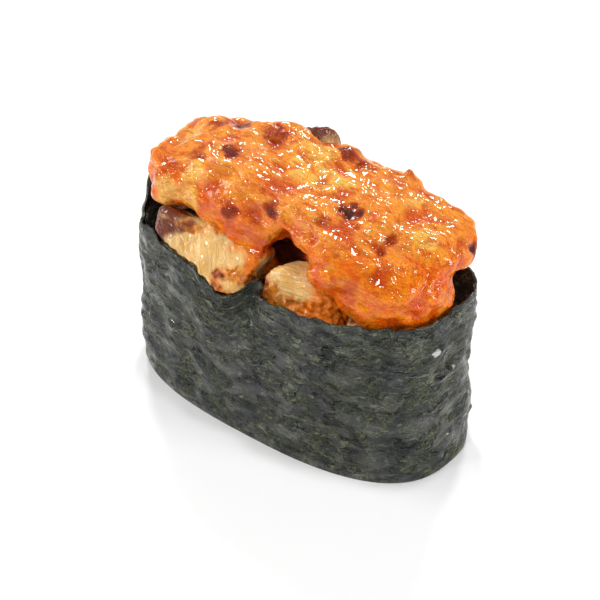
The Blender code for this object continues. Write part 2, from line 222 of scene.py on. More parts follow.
def oval_span(x_share, y_share):
    """How far out a point is, as a share of the way from the middle to the oval."""
    return (abs(x_share) ** SQUARENESS + abs(y_share) ** SQUARENESS) ** (1 / SQUARENESS)


def held_in_cup(point):
    """The point, drawn in to clear the nori where it is below the rim. Above that it may reach out."""
    x, y, z = point
    half_l, half_w = LENGTH / 2, WIDTH / 2
    span = oval_span(x / half_l, y / half_w)
    if span < HELD_FROM:
        return point
    rim_x, rim_y = x / span, y / span
    distance = float(np.interp(-math.atan2(rim_y, rim_x), OVAL_TURN, OVAL_D))
    over = smoothstep(RIM_CLEARANCE, RIM_CLEARANCE + RIM_EASE, z - rim_height(rim_x, rim_y))
    inset = cup_inset(distance, z) - OVERHANG * over
    held_span = oval_span(x / (half_l - inset), y / (half_w - inset))
    return Vector((x / max(held_span, 1.0), y / max(held_span, 1.0), z))


def object_from(bm, name, finish):
    """Turns a bmesh in millimetres into a smooth object in metres."""
    bmesh.ops.recalc_face_normals(bm, faces=bm.faces)
    bmesh.ops.scale(bm, vec=(MM, MM, MM), verts=bm.verts)
    mesh = bpy.data.meshes.new(name)
    bm.to_mesh(mesh)
    bm.free()
    mesh.materials.append(finish)
    mesh.shade_smooth()
    obj = bpy.data.objects.new(name, mesh)
    bpy.context.scene.collection.objects.link(obj)
    return obj


def apply_modifiers(obj):
    """Replaces the object's mesh with its evaluated one."""
    graph = bpy.context.evaluated_depsgraph_get()
    mesh = bpy.data.meshes.new_from_object(obj.evaluated_get(graph))
    obj.modifiers.clear()
    obj.data = mesh


def paint(obj, name, values):
    """Keeps one number for each vertex, which the material reads by name."""
    layer = obj.data.attributes.new(name, "FLOAT", "POINT")
    layer.data.foreach_set("value", values)


def paint_places(obj, name, places):
    """Keeps a place for each vertex, so that a pattern can follow the surface."""
    layer = obj.data.attributes.new(name, "FLOAT_VECTOR", "POINT")
    layer.data.foreach_set("vector", places)


def stand_for(obj, node):
    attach(obj, "root")
    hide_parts(node)


# Shader nodes


def feed(tree, socket, value):
    """Links the value to the socket if it is an output, and sets it otherwise."""
    if isinstance(value, bpy.types.NodeSocket):
        tree.links.new(value, socket)
    elif value is not None:
        socket.default_value = (*value, 1.0) if socket.type == "RGBA" and len(value) == 3 else value


def add_node(tree, kind, values=None, **settings):
    made = tree.nodes.new(kind)
    for name, value in settings.items():
        setattr(made, name, value)
    for name, value in (values or {}).items():
        feed(tree, made.inputs[name], value)
    return made


def calculate(tree, operation, first, second=None, third=None):
    made = add_node(tree, "ShaderNodeMath", operation=operation)
    for socket, value in zip(made.inputs, (first, second, third)):
        feed(tree, socket, value)
    return made.outputs[0]


def product(tree, first, second):
    return calculate(tree, "MULTIPLY", first, second)


def between(tree, value, low, high, to_low=0.0, to_high=1.0):
    """A smooth step from to_low to to_high, as the value goes from low to high."""
    wanted = {"Value": value, "From Min": low, "From Max": high, "To Min": to_low, "To Max": to_high}
    return add_node(tree, "ShaderNodeMapRange", wanted, interpolation_type="SMOOTHSTEP").outputs[0]


def mixed(tree, factor, first, second):
    """Goes from the first colour to the second one as the factor rises."""
    made = add_node(tree, "ShaderNodeMix", data_type="RGBA")
    feed(tree, made.inputs[0], factor)
    feed(tree, made.inputs[6], first)
    feed(tree, made.inputs[7], second)
    return made.outputs[2]


def noise_fac(tree, vector, scale, detail=2.0, roughness=0.5, distortion=0.0):
    wanted = {
        "Vector": vector,
        "Scale": scale,
        "Detail": detail,
        "Roughness": roughness,
        "Distortion": distortion,
    }
    return add_node(tree, "ShaderNodeTexNoise", wanted).outputs["Fac"]


def painted(tree, name):
    """The number that the mesh keeps under this name."""
    return add_node(tree, "ShaderNodeAttribute", attribute_name=name).outputs["Fac"]


def painted_place(tree, name):
    """The place that the mesh keeps under this name."""
    return add_node(tree, "ShaderNodeAttribute", attribute_name=name).outputs["Vector"]


def place_in_mm(tree, stretch=(1.0, 1.0, 1.0), turn=(0.0, 0.0, 0.0)):
    """The object's own coordinates in millimetres, turned and stretched along a pattern's grain."""
    place = add_node(tree, "ShaderNodeTexCoord").outputs["Object"]
    scale = tuple(1.0 / MM / s for s in stretch)
    turned = tuple(math.radians(angle) for angle in turn)
    wanted = {"Vector": place, "Rotation": turned, "Scale": scale}
    return add_node(tree, "ShaderNodeMapping", wanted).outputs[0]


def new_group(name, inputs, outputs):
    """An empty shader node group with number inputs after its vector, and number outputs."""
    tree = bpy.data.node_groups.new(name, "ShaderNodeTree")
    tree.interface.new_socket("Vector", in_out="INPUT", socket_type="NodeSocketVector")
    for label, value in inputs.items():
        socket = tree.interface.new_socket(label, in_out="INPUT", socket_type="NodeSocketFloat")
        socket.default_value = value
    for label in outputs:
        tree.interface.new_socket(label, in_out="OUTPUT", socket_type="NodeSocketFloat")
    return tree, tree.nodes.new("NodeGroupInput"), tree.nodes.new("NodeGroupOutput")


@functools.lru_cache
def patches_group():
    """Soft uneven patches: Size in millimetres, and the share of the surface that they leave bare."""
    tree, given, out = new_group("patches", {"Size": 3.0, "Bare": 0.5, "Softness": 0.1}, ["Mask"])
    scale = calculate(tree, "DIVIDE", 1.0, given.outputs["Size"])
    fac = noise_fac(tree, given.outputs["Vector"], scale, detail=4.0, roughness=0.6, distortion=0.4)
    low = calculate(tree, "SUBTRACT", given.outputs["Bare"], given.outputs["Softness"])
    high = calculate(tree, "ADD", given.outputs["Bare"], given.outputs["Softness"])
    tree.links.new(between(tree, fac, low, high), out.inputs["Mask"])
    return tree


@functools.lru_cache
def threads_group():
    """Thin curly lines, as fibres make: Size is the distance between them and Width their breadth."""
    tree, given, out = new_group("threads", {"Size": 1.0, "Width": 0.03}, ["Mask"])
    scale = calculate(tree, "DIVIDE", 1.0, given.outputs["Size"])
    fac = noise_fac(tree, given.outputs["Vector"], scale, detail=2.0, roughness=0.45, distortion=0.8)
    off_line = calculate(tree, "ABSOLUTE", calculate(tree, "SUBTRACT", fac, 0.5))
    mask = between(tree, off_line, 0.0, given.outputs["Width"], 1.0, 0.0)
    tree.links.new(mask, out.inputs["Mask"])
    return tree


@functools.lru_cache
def wet_group():
    """A moist skin: small pits and bumps for its relief, and where it is glossier or duller."""
    inputs = {"Size": 0.6, "Glossy": 0.2, "Dull": 0.45}
    tree, given, out = new_group("moist_skin", inputs, ["Height", "Roughness"])
    scale = calculate(tree, "DIVIDE", 1.0, given.outputs["Size"])
    bumps = noise_fac(tree, given.outputs["Vector"], scale, detail=3.0, roughness=0.55, distortion=0.6)
    slow = product(tree, scale, 0.2)
    wet = noise_fac(tree, given.outputs["Vector"], slow, detail=3.0)
    tree.links.new(bumps, out.inputs["Height"])
    rough = between(tree, wet, 0.35, 0.65, given.outputs["Glossy"], given.outputs["Dull"])
    tree.links.new(rough, out.inputs["Roughness"])
    return tree


def grouped(tree, group, output, vector, **values):
    """Places a shared group with its own values, and gives one of its outputs."""
    made = tree.nodes.new("ShaderNodeGroup")
    made.node_tree = group
    feed(tree, made.inputs["Vector"], vector)
    for name, value in values.items():
        feed(tree, made.inputs[name], value)
    return made.outputs[output]


def bump(tree, height, distance, strength=1.0, below=None):
    """Relief in millimetres, on top of what a bump below it gives."""
    wanted = {"Height": height, "Distance": distance * MM, "Strength": strength, "Normal": below}
    return add_node(tree, "ShaderNodeBump", wanted).outputs[0]


def new_material(name):
    made = bpy.data.materials.new(name)
    made.use_nodes = True
    tree = made.node_tree
    return made, tree, tree.nodes["Principled BSDF"]


def set_shader(tree, shader, **values):
    for name, value in values.items():
        feed(tree, shader.inputs[name.replace("_", " ")], value)


# The nori strip


# How much of the sheet's relief its long folds, its small ones and its lumps make
SHEET_SHARES = (0.42, 0.5, 0.9)
GREEN_PATCH = (0.028, 0.034, 0.022)
PALE_FLECK = (0.20, 0.22, 0.12)
# Near-black lines along the sheet's creases: painted shade in them
CREASE_SHADE = (0.002, 0.003, 0.002)


class NoriSettings(bpy.types.PropertyGroup):
    thickness: FloatProperty(
        name="Thickness",
        description="Thickness of the strip",
        default=0.35 * MM,
        unit="LENGTH",
        precision=5,
    )
    wrinkle_depth: FloatProperty(
        name="Wrinkle depth",
        description="Depth of the sheet's small folds",
        default=0.5 * MM,
        unit="LENGTH",
        precision=5,
    )
    colour: FloatVectorProperty(
        name="Colour",
        description="Dark green of the sheet",
        subtype="COLOR",
        default=(0.019, 0.023, 0.021),
    )
    fibre_colour: FloatVectorProperty(
        name="Fibre colour",
        description="Olive of its fibres",
        subtype="COLOR",
        default=(0.24, 0.26, 0.12),
    )


def sheet_relief(along, up):
    """The sheet's small folds and fibres, by the place on the flat strip."""
    bend = 2.2 * noise_at(along, up, 0.0, 14.0, 8.2)
    flow = up + bend - FOLD_SLANT * max(0.0, along - SLANTED_FROM)
    folds = ridge_at(along / 4.0, flow, 0.0, 1.9, 4.4)
    small = noise_at(along / 2.2, flow, 0.0, 0.9, 6.6)
    lumps = noise_at(along, up, 0.0, 3.4, 2.9)
    fold_share, small_share, lump_share = SHEET_SHARES
    return fold_share * folds + small_share * small + lump_share * lumps


def nori_point(along, height_share, depth, wrinkle):
    """A point of the wound strip, from how far along it is, its share of the height and its depth."""
    distance = along - OVERLAP + STRIP_END
    x0, y0 = oval(distance, 0.0)
    top = rim_height(x0, y0) + corner_rise(along)
    top += RIM_NICKS * noise_at(along, 0.0, 0.0, 0.6, 3.3)
    z = top * height_share
    relief = wrinkle * sheet_relief(along, z) * smoothstep(0.0, 1.5, z)
    inset = depth + layer_inset(along) - wall_shift(x0, y0, z) - relief
    x, y = oval(distance, inset)
    return Vector((x, y, z))


def nori_material(settings):
    made, tree, shader = new_material("nori")
    sheet = painted_place(tree, "sheet")
    grain = add_node(tree, "ShaderNodeMapping", {"Vector": sheet, "Scale": (0.4, 1.0, 1.0)}).outputs[0]
    fibre = grouped(tree, threads_group(), "Mask", grain, Size=1.3, Width=0.04)
    fuzz = grouped(tree, threads_group(), "Mask", sheet, Size=1.1, Width=0.045)
    green = grouped(tree, patches_group(), "Mask", sheet, Size=4.5, Bare=0.52, Softness=0.16)
    wetter = grouped(tree, patches_group(), "Mask", grain, Size=2.4, Bare=0.54, Softness=0.06)
    fleck = grouped(tree, patches_group(), "Mask", grain, Size=0.9, Bare=0.62, Softness=0.04)
    crack = grouped(tree, threads_group(), "Mask", grain, Size=2.4, Width=0.02)
    layer = grouped(tree, patches_group(), "Mask", grain, Size=2.8, Bare=0.5, Softness=0.02)
    fibres = product(tree, calculate(tree, "MAXIMUM", fibre, fuzz), green)
    colour = mixed(tree, green, tuple(settings.colour), GREEN_PATCH)
    colour = mixed(tree, product(tree, fibres, 0.7), colour, tuple(settings.fibre_colour))
    colour = mixed(tree, product(tree, fleck, 0.8), colour, PALE_FLECK)
    # The creases are painted near black as painted shade, and sunk by the bump below
    colour = mixed(tree, crack, colour, CREASE_SHADE)
    height = noise_fac(tree, grain, 1.6, detail=6.0, roughness=0.65, distortion=0.6)
    height = calculate(tree, "SUBTRACT", height, product(tree, crack, 0.8))
    height = calculate(tree, "ADD", height, product(tree, layer, 0.35))
    height = calculate(tree, "ADD", height, product(tree, fibres, 0.3))
    rough = grouped(tree, wet_group(), "Roughness", sheet, Size=1.0, Glossy=0.16, Dull=0.45)
    set_shader(tree, shader, Base_Color=colour, Roughness=rough, Normal=bump(tree, height, 1.3))
    set_shader(tree, shader, Coat_Weight=product(tree, wetter, 0.6), Coat_Roughness=0.08)
    return made


class SUSHI_OT_nori(bpy.types.Operator):
    """Winds the nori strip round the oval, with its small folds and its ragged rim"""

    bl_idname = "sushi.nori"
    bl_label = "Nori strip"

    def execute(self, context):
        settings = context.scene.sushi_nori
        thickness, wrinkle = settings.thickness / MM, settings.wrinkle_depth / MM
        bm = bmesh.new()
        bmesh.ops.create_grid(bm, x_segments=STRIP_COLUMNS, y_segments=STRIP_ROWS, size=0.5)
        bmesh.ops.solidify(bm, geom=bm.faces[:], thickness=1.0)
        low = min(v.co.z for v in bm.verts)
        flat = []
        for v in bm.verts:
            along, up = (v.co.x + 0.5) * STRIP_LENGTH, v.co.y + 0.5
            flat.extend((along, up * NORI_HEIGHT, (v.co.z - low) * thickness))
            v.co = nori_point(along, up, (v.co.z - low) * thickness, wrinkle)
        nori = object_from(bm, "nori_strip", nori_material(settings))
        paint_places(nori, "sheet", flat)
        stand_for(nori, "nori")
        return {"FINISHED"}


# The rice


PALE_RICE = (0.88, 0.86, 0.80)


class RiceSettings(bpy.types.PropertyGroup):
    grain_length: FloatProperty(
        name="Grain length",
        description="Length of a cooked grain",
        default=6.0 * MM,
        unit="LENGTH",
        precision=5,
    )
    grain_width: FloatProperty(
        name="Grain width",
        description="Width of a cooked grain",
        default=2.7 * MM,
        unit="LENGTH",
        precision=5,
    )
    grain_spacing: FloatProperty(
        name="Grain spacing",
        description="Least distance between two grains of a layer",
        default=2.9 * MM,
        unit="LENGTH",
        precision=5,
    )
    colour: FloatVectorProperty(
        name="Colour",
        description="Moist white of the rice",
        subtype="COLOR",
        default=(0.80, 0.76, 0.66),
    )


def rice_material(settings):
    made, tree, shader = new_material("rice")
    place = place_in_mm(tree)
    pale = grouped(tree, patches_group(), "Mask", place, Size=2.2, Bare=0.5, Softness=0.2)
    colour = mixed(tree, pale, tuple(settings.colour), PALE_RICE)
    height = grouped(tree, wet_group(), "Height", place, Size=0.8, Glossy=0.25, Dull=0.45)
    rough = grouped(tree, wet_group(), "Roughness", place, Size=0.8, Glossy=0.25, Dull=0.45)
    set_shader(tree, shader, Base_Color=colour, Roughness=rough, Normal=bump(tree, height, 0.08))
    set_shader(tree, shader, Subsurface_Weight=0.2, Subsurface_Scale=1.0 * MM)
    set_shader(tree, shader, Subsurface_Radius=(1.0, 0.8, 0.5))
    return made


def scattered(rng, spacing):
    """Places inside the oval, none closer to another than the spacing."""
    found = []
    half_l, half_w = LENGTH / 2 - GRAIN_FROM_EDGE, WIDTH / 2 - GRAIN_FROM_EDGE
    for _ in range(GRAIN_TRIES):
        x, y = rng.uniform(-half_l, half_l), rng.uniform(-half_w, half_w)
        inside = oval_span(x / half_l, y / half_w) < 1.0
        if inside and all(math.hypot(x - a, y - b) > spacing for a, b in found):
            found.append((x, y))
    return found


def add_grain(bm, centre, heading, pitch, size):
    """One plump grain, slightly bent, held inside the nori and off the board."""
    length, width = size
    place = Matrix.Translation(centre) @ Matrix.Rotation(heading, 4, "Z")
    place = place @ Matrix.Rotation(pitch, 4, "Y")
    made = bmesh.ops.create_uvsphere(bm, u_segments=8, v_segments=7, radius=0.5)
    shape = Matrix.Diagonal((length, width, GRAIN_DEPTH * width, 1.0))
    shape = shape @ Matrix.Rotation(math.pi / 2, 4, "Y")
    bmesh.ops.transform(bm, matrix=shape, verts=made["verts"])
    for v in made["verts"]:
        v.co.y += GRAIN_BEND * (2 * v.co.x / length) ** 2
        v.co = held_in_cup(place @ v.co)
        v.co.z = min(max(v.co.z, 0.0), GRAIN_TOP)


def rice_core_shape():
    """A block that follows the inside of the nori, with a low uneven relief."""
    bm = bmesh.new()
    bmesh.ops.create_cone(bm, cap_ends=True, segments=RICE_SIDES, radius1=1.0, radius2=1.0, depth=1.0)
    upright = [e for e in bm.edges if abs(e.verts[0].co.z - e.verts[1].co.z) > 0.5]
    bmesh.ops.subdivide_edges(bm, edges=upright, cuts=RICE_LEVELS - 1)
    for v in bm.verts:
        distance = (math.pi - math.atan2(v.co.y, v.co.x)) / (2 * math.pi) * PERIMETER
        z = RICE_FLOOR + (v.co.z + 0.5) * (RICE_TOP - RICE_FLOOR)
        relief = CORE_GAP + CORE_RELIEF * noise_at(v.co.x * 30, v.co.y * 15, z, 2.4, 4.8)
        v.co = (*oval(distance, cup_inset(distance, z) + relief), z)
    caps = [f for f in bm.faces if len(f.verts) > 4]
    bmesh.ops.triangulate(bm, faces=caps)
    return bm


class SUSHI_OT_rice(bpy.types.Operator):
    """Packs rice grains over a core, on its underside and on top"""

    bl_idname = "sushi.rice"
    bl_label = "Rice"

    def execute(self, context):
        settings = context.scene.sushi_rice
        finish = rice_material(settings)
        stand_for(object_from(rice_core_shape(), "rice_core", finish), "rice")
        rng = np.random.default_rng(GRAIN_SEED)
        length, width = settings.grain_length / MM, settings.grain_width / MM
        bm = bmesh.new()
        for z, pitch in GRAIN_LAYERS:
            for x, y in scattered(rng, settings.grain_spacing / MM):
                scale = rng.uniform(*GRAIN_SCALES)
                centre = Vector((x, y, z + rng.uniform(*GRAIN_LIFTS)))
                turn = (rng.uniform(0.0, math.pi), rng.uniform(-pitch, pitch))
                add_grain(bm, centre, *turn, (length * scale, width * scale))
        stand_for(object_from(bm, "rice_grains", finish), "rice")
        return {"FINISHED"}


# The pieces of fish


# Each piece by its corners: the face that shows, from its top left and clockwise, then the face behind
FISH = {
    "fish_left": (
        ((-22.4, -9.8, 32.9), (0.6, -8.6, 33.6), (-3.4, -16.4, 25.4), (-22.2, -13.0, 30.1)),
        ((-18.5, -4.5, 30.0), (-2.6, -3.0, 29.5), (-3.0, -10.0, 22.4), (-21.0, -5.0, 22.4)),
    ),
    "fish_middle": (
        ((-0.2, -10.5, 32.4), (15.0, -10.2, 32.2), (17.0, -14.0, 24.4), (0.6, -14.6, 24.6)),
        ((5.2, -3.6, 31.6), (14.0, -3.2, 31.4), (15.0, -6.0, 22.6), (3.0, -6.0, 22.6)),
    ),
    "fish_back": (
        ((-3.6, 13.4, 43.6), (-10.6, 12.6, 42.2), (-15.0, 14.2, 24.0), (0.4, 14.2, 24.0)),
        ((-3.8, 9.4, 42.0), (-10.4, 9.0, 41.0), (-13.0, 6.6, 22.8), (-0.6, 6.6, 22.8)),
    ),
    "fish_scrap": (
        ((17.4, -9.6, 29.6), (21.6, -9.0, 29.4), (22.2, -11.6, 24.0), (18.0, -12.4, 24.0)),
        ((17.4, -7.4, 29.0), (21.2, -7.2, 28.8), (21.6, -8.6, 23.4), (18.0, -8.8, 23.4)),
    ),
}
PIECE_SQUARENESS = {"fish_left": 6.0, "fish_middle": 3.4, "fish_back": 6.0, "fish_scrap": 6.0}
PIECE_RELIEF = 0.9
CRUMB_RELIEF = 0.8
CRAG_RELIEF = 0.35
FLAKE_RELIEF = 0.07
FLAKES = 14.0
FIBRES = 9.0
# The way across each piece's fibres: how much of it is to the right and how much upwards
FIBRE_WAY = {
    "fish_left": (1.0, 0.38),
    "fish_middle": (0.3, -1.0),
    "fish_back": (1.0, -0.2),
    "fish_scrap": (1.0, -0.2),
}
PIECE_CUTS = {"fish_left": 76, "fish_middle": 60, "fish_back": 60, "fish_scrap": 24}
# A tint is whole up to the first of these shares of its reach and gone from the second on
TINT_EDGE = (0.55, 1.25)
# Where a piece's face is tinted: across and up it from -1 to 1, and how far the tint reaches
FISH_TINTS = {
    "fish_left": {
        "skin": (((-1.0, -0.8), 0.5), ((-0.95, -0.1), 0.6), ((-0.85, 0.8), 0.66)),
        "brown": (
            ((0.8, -0.5), 0.13),
            ((0.85, -0.9), 0.16),
            ((0.6, -0.95), 0.12),
            ((0.97, -0.2), 0.14),
            ((-0.6, -0.97), 0.18),
            ((0.0, -0.97), 0.16),
        ),
        # Glaze spots; the one at (-0.35, 0.5) is painted shade under the sauce's lip, in the glaze
        # colour
        "glaze_and_lip_shade": (((0.2, 0.9), 0.3), ((0.9, -0.9), 0.4), ((-0.35, 0.5), 0.3), ((1.0, -0.1), 0.4)),
        "sauced": (((1.0, 1.0), 0.7), ((0.55, 1.0), 0.4), ((1.0, 0.4), 0.3)),
    },
    "fish_middle": {
        "skin": (),
        "brown": (((-1.0, 0.1), 0.4), ((-0.8, -0.7), 0.5), ((0.1, -0.9), 0.4), ((0.9, -0.6), 0.4)),
        "glaze_and_lip_shade": (((-0.8, -0.1), 0.6), ((0.0, -0.35), 0.7), ((0.6, -0.3), 0.65), ((1.0, 0.2), 0.6)),
        "sauced": (((0.9, 0.0), 0.7), ((1.0, 0.9), 0.7), ((0.4, -0.5), 0.5)),
    },
    "fish_back": {
        "skin": (((0.0, 0.9), 1.3),),
        "brown": (((0.3, 0.0), 0.6),),
        "glaze_and_lip_shade": (((0.0, -0.6), 0.8),),
        "sauced": (),
    },
    "fish_scrap": {
        "skin": (),
        "brown": (((-0.8, 0.8), 0.5),),
        "glaze_and_lip_shade": (((0.5, 0.0), 0.9),),
        "sauced": (),
    },
}
# How much fatter each piece is than its solid, so that the sauce lies on it
PIECE_GROWTH = 0.25
WARM_FLESH = (0.70, 0.36, 0.07)
PALE_FIBRE = (0.95, 0.78, 0.47)


class FishSettings(bpy.types.PropertyGroup):
    fibre_depth: FloatProperty(
        name="Fibre depth",
        description="Depth of the grooves between fibres",
        default=0.12 * MM,
        unit="LENGTH",
        precision=5,
    )
    flesh_colour: FloatVectorProperty(
        name="Flesh colour",
        description="Pale yellow of the cut face",
        subtype="COLOR",
        default=(0.82, 0.50, 0.17),
    )
    # On the left piece this colour also paints the shade under the sauce's lip
    glaze_colour: FloatVectorProperty(
        name="Glaze colour",
        description="Orange brown of the glaze",
        subtype="COLOR",
        default=(0.80, 0.27, 0.02),
    )
    brown_colour: FloatVectorProperty(
        name="Browned colour",
        description="Dark red of the browned edges",
        subtype="COLOR",
        default=(0.30, 0.045, 0.006),
    )
    sauced_colour: FloatVectorProperty(
        name="Sauced colour",
        description="Orange of the sauce that has run over it",
        subtype="COLOR",
        default=(0.86, 0.20, 0.005),
    )
    skin_colour: FloatVectorProperty(
        name="Skin colour",
        description="Dark brown of the skin",
        subtype="COLOR",
        default=(0.16, 0.028, 0.008),
    )


def eased(point, square):
    """A point of the cube from -1 to 1, moved on to a block with rounded edges."""
    reach = sum(abs(c) ** square for c in point) ** (1 / square)
    return point / reach


def face_point(corners, across, up):
    """A point between four corners, which are given from the top left and clockwise."""
    top_left, top_right, low_right, low_left = (Vector(corner) for corner in corners)
    return low_left.lerp(low_right, across).lerp(top_left.lerp(top_right, across), up)


def piece_point(corners, p):
    """A piece's point for one of the cube from -1 to 1: X runs right, Y away from the face, Z up."""
    face, behind = corners
    across, back, up = (0.5 * (c + 1.0) for c in p)
    return face_point(face, across, up).lerp(face_point(behind, across, up), back)


def faded(away, reach, edge):
    """1 near the heart of a spot and 0 past its edge, which is given in shares of its reach."""
    return 1.0 - smoothstep(edge[0] * reach, edge[1] * reach, away)


def tint_at(spots, p, roughness):
    """How strong a tint is at a place of the piece, with an uneven edge."""
    strongest = 0.0
    for (across, up), reach in spots:
        away = math.hypot(p.x - across, p.z - up) + 0.25 * (p.y + 1.0) + 0.35 * roughness
        strongest = max(strongest, faded(away, reach, TINT_EDGE))
    return strongest


def fish_piece(name, finish, depth, seed):
    """A piece of fish: a block with eased edges, uneven sides and fibres that run down its face."""
    corners = FISH[name]
    bm = bmesh.new()
    bmesh.ops.create_cube(bm, size=2.0)
    bmesh.ops.subdivide_edges(bm, edges=bm.edges, cuts=PIECE_CUTS[name], use_grid_fill=True)
    middle = piece_point(corners, Vector((0.0, 0.0, 0.0)))
    tints = {tint: [] for tint in FISH_TINTS[name]}
    grain = []
    for v in bm.verts:
        p = eased(v.co, PIECE_SQUARENESS[name])
        place = piece_point(corners, p)
        flake = FLAKE_RELIEF * math.sin(FLAKES * p.x + 2.0 * noise_at(*place, 6.0, seed))
        lump = PIECE_RELIEF * noise_at(*place, 4.5, seed + 5.0)
        across = FIBRE_WAY[name][0] * p.x + FIBRE_WAY[name][1] * p.z
        fibre = depth * (ridge_at(FIBRES * across, 4.0 * p.y, 0.8 * p.z, 1.0, seed) - 0.4)
        roughness = noise_at(*place, 2.2, seed)
        shares = {tint: tint_at(spots, p, roughness) for tint, spots in FISH_TINTS[name].items()}
        grilled = max(shares["glaze_and_lip_shade"], shares["brown"])
        crumbs = CRUMB_RELIEF * noise_at(*place, 0.9, seed + 2.0) * grilled
        crag = CRAG_RELIEF * noise_at(*place, 1.1, seed + 9.0) * smoothstep(-0.3, -1.0, p.z)
        grain.extend((FIBRES * across, 5.0 * p.y, 2.4 * p.z))
        offset = PIECE_GROWTH + flake + lump + fibre * (1.0 - shares["glaze_and_lip_shade"]) + crumbs + crag
        v.co = held_in_cup(place + (place - middle).normalized() * offset)
        for tint, share in shares.items():
            tints[tint].append(share)
    made = object_from(bm, name + "_piece", finish)
    for tint, values in tints.items():
        paint(made, tint, values)
    paint_places(made, "grain", grain)
    stand_for(made, name)


def fish_material(settings):
    made, tree, shader = new_material("grilled_fish")
    place = place_in_mm(tree)
    grain = painted_place(tree, "grain")
    fibre = grouped(tree, threads_group(), "Mask", grain, Size=0.8, Width=0.06)
    warm = grouped(tree, patches_group(), "Mask", place, Size=3.2, Bare=0.54, Softness=0.14)
    speck = grouped(tree, patches_group(), "Mask", place, Size=0.8, Bare=0.5, Softness=0.06)
    flesh = mixed(tree, product(tree, warm, 0.7), tuple(settings.flesh_colour), WARM_FLESH)
    flesh = mixed(tree, product(tree, fibre, 0.4), flesh, PALE_FIBRE)
    # The glaze tint, which on the left piece also paints the shade under the sauce's lip
    glazed = mixed(tree, painted(tree, "glaze_and_lip_shade"), flesh, tuple(settings.glaze_colour))
    faint = between(tree, speck, 0.0, 1.0, 0.0, 0.55)
    strong = between(tree, speck, 0.0, 1.0, 0.55, 1.0)
    faint = product(tree, painted(tree, "glaze_and_lip_shade"), faint)
    strong = product(tree, painted(tree, "brown"), strong)
    dotted = calculate(tree, "MAXIMUM", strong, faint)
    browned = mixed(tree, dotted, glazed, tuple(settings.brown_colour))
    browned = mixed(tree, painted(tree, "sauced"), browned, tuple(settings.sauced_colour))
    colour = mixed(tree, painted(tree, "skin"), browned, tuple(settings.skin_colour))
    wet = grouped(tree, wet_group(), "Height", place, Size=0.5, Glossy=0.2, Dull=0.4)
    rough = grouped(tree, wet_group(), "Roughness", place, Size=0.5, Glossy=0.22, Dull=0.42)
    normal = bump(tree, calculate(tree, "ADD", wet, product(tree, fibre, 0.6)), 0.14)
    set_shader(tree, shader, Base_Color=colour, Roughness=rough, Normal=normal)
    set_shader(tree, shader, Specular_IOR_Level=0.2, Coat_Weight=0.3, Coat_Roughness=0.08)
    set_shader(tree, shader, Subsurface_Weight=0.15, Subsurface_Scale=1.2 * MM)
    set_shader(tree, shader, Subsurface_Radius=(1.0, 0.6, 0.3))
    return made


class SUSHI_OT_fish(bpy.types.Operator):
    """Makes the pieces of grilled fish, with their fibres, browned edges and skin"""

    bl_idname = "sushi.fish"
    bl_label = "Grilled fish"

    def execute(self, context):
        settings = context.scene.sushi_fish
        finish = fish_material(settings)
        for index, name in enumerate(FISH):
            fish_piece(name, finish, settings.fibre_depth / MM, 1.7 * index + 0.3)
        return {"FINISHED"}


# The baked sauce


# Where the grill has burnt the skin: the place, how far it reaches and how strong it is
BURNT_SPOTS = (
    ((11.1, -2.2, 41.8), 2.4, 1.0),
    ((-7.3, -9.7, 37.7), 2.2, 0.7),
    ((-0.2, -8.0, 40.1), 1.8, 0.8),
    ((9.6, -7.1, 41.7), 1.8, 0.5),
    ((19.9, -3.6, 41.0), 1.7, 0.6),
    ((19.8, -5.9, 40.3), 1.5, 0.55),
    ((-10.5, 6.0, 42.9), 2.6, 0.65),
    ((-13.3, -2.3, 42.8), 2.0, 0.8),
    ((-18.4, -4.5, 41.4), 2.0, 0.55),
    ((1.8, 9.4, 42.8), 2.2, 0.75),
    ((5.0, 9.6, 42.4), 1.8, 0.6),
    ((-20.8, 3.8, 41.9), 2.2, 0.6),
    ((-18.0, 6.3, 41.8), 2.4, 0.8),
    ((29.0, 6.0, 38.1), 1.3, 0.95),
    ((21.1, -9.2, 37.5), 1.6, 0.4),
)
BURNT_EDGE = (0.2, 1.3)
# How deep a burnt spot sinks, in depths of a wrinkle
BURNT_SINK = 0.4
# The inside of the pocket between two pieces, where no light comes: painted dark with the burnt colour,
# as painted shade
POCKET_HEART = (1.0, -3.6, 30.4)
POCKET_DARK, POCKET_EDGE = 2.8, 4.6
# Where the sauce is thin and pale: the place and how far it reaches
PALE_PATCHES = (
    ((-24.4, 0.6, 38.4), 4.6),
    ((-17.1, -7.3, 39.7), 3.6),
    ((-16.4, -8.6, 36.9), 3.0),
    ((-21.0, -8.8, 35.4), 3.4),
    ((-0.8, 5.0, 42.3), 4.8),
    ((-1.4, -0.5, 42.3), 4.0),
    ((5.8, 3.2, 42.5), 3.8),
    ((24.1, -0.1, 41.0), 2.4),
    ((16.7, 5.6, 42.2), 2.4),
)
PALE_EDGE = (0.3, 1.2)
SMOOTH_LUMP = (18.6, -8.6, 32.0)
SMOOTH_LUMP_REACH = 11.0
SMOOTH_LUMP_CALM = 0.6
# The plane of the left piece's face, on which the sauce thins out to a film
FACE_TOP = (-2.2, -9.2, 33.2)
FACE_OUT = (0.0, -0.72, 0.694)
FACE_DOWN = (0.0, -0.694, -0.72)
FILM_FROM, FILM_TO = -3.0, 1.0
FILM_THINNING = 0.85
FILM_RIGHT_END = 5.0
FILM_FADE = 2.0
# Above these heights the top plateau is painted paler: a painted sheen
PLATEAU_LOW, PLATEAU_HIGH = 37.5, 41.5
PLATEAU_SHEEN = 0.4
# How much of the skin's relief its lumps, its folds and its small crests make
CRUST_SHARES = (1.3, 0.8, 0.35)
SCORCHED_EDGE = (0.42, 0.04, 0.002)
SHINE_TINT = (1.0, 0.72, 0.5)
WELD = 0.01
SOFTENING = 0.5


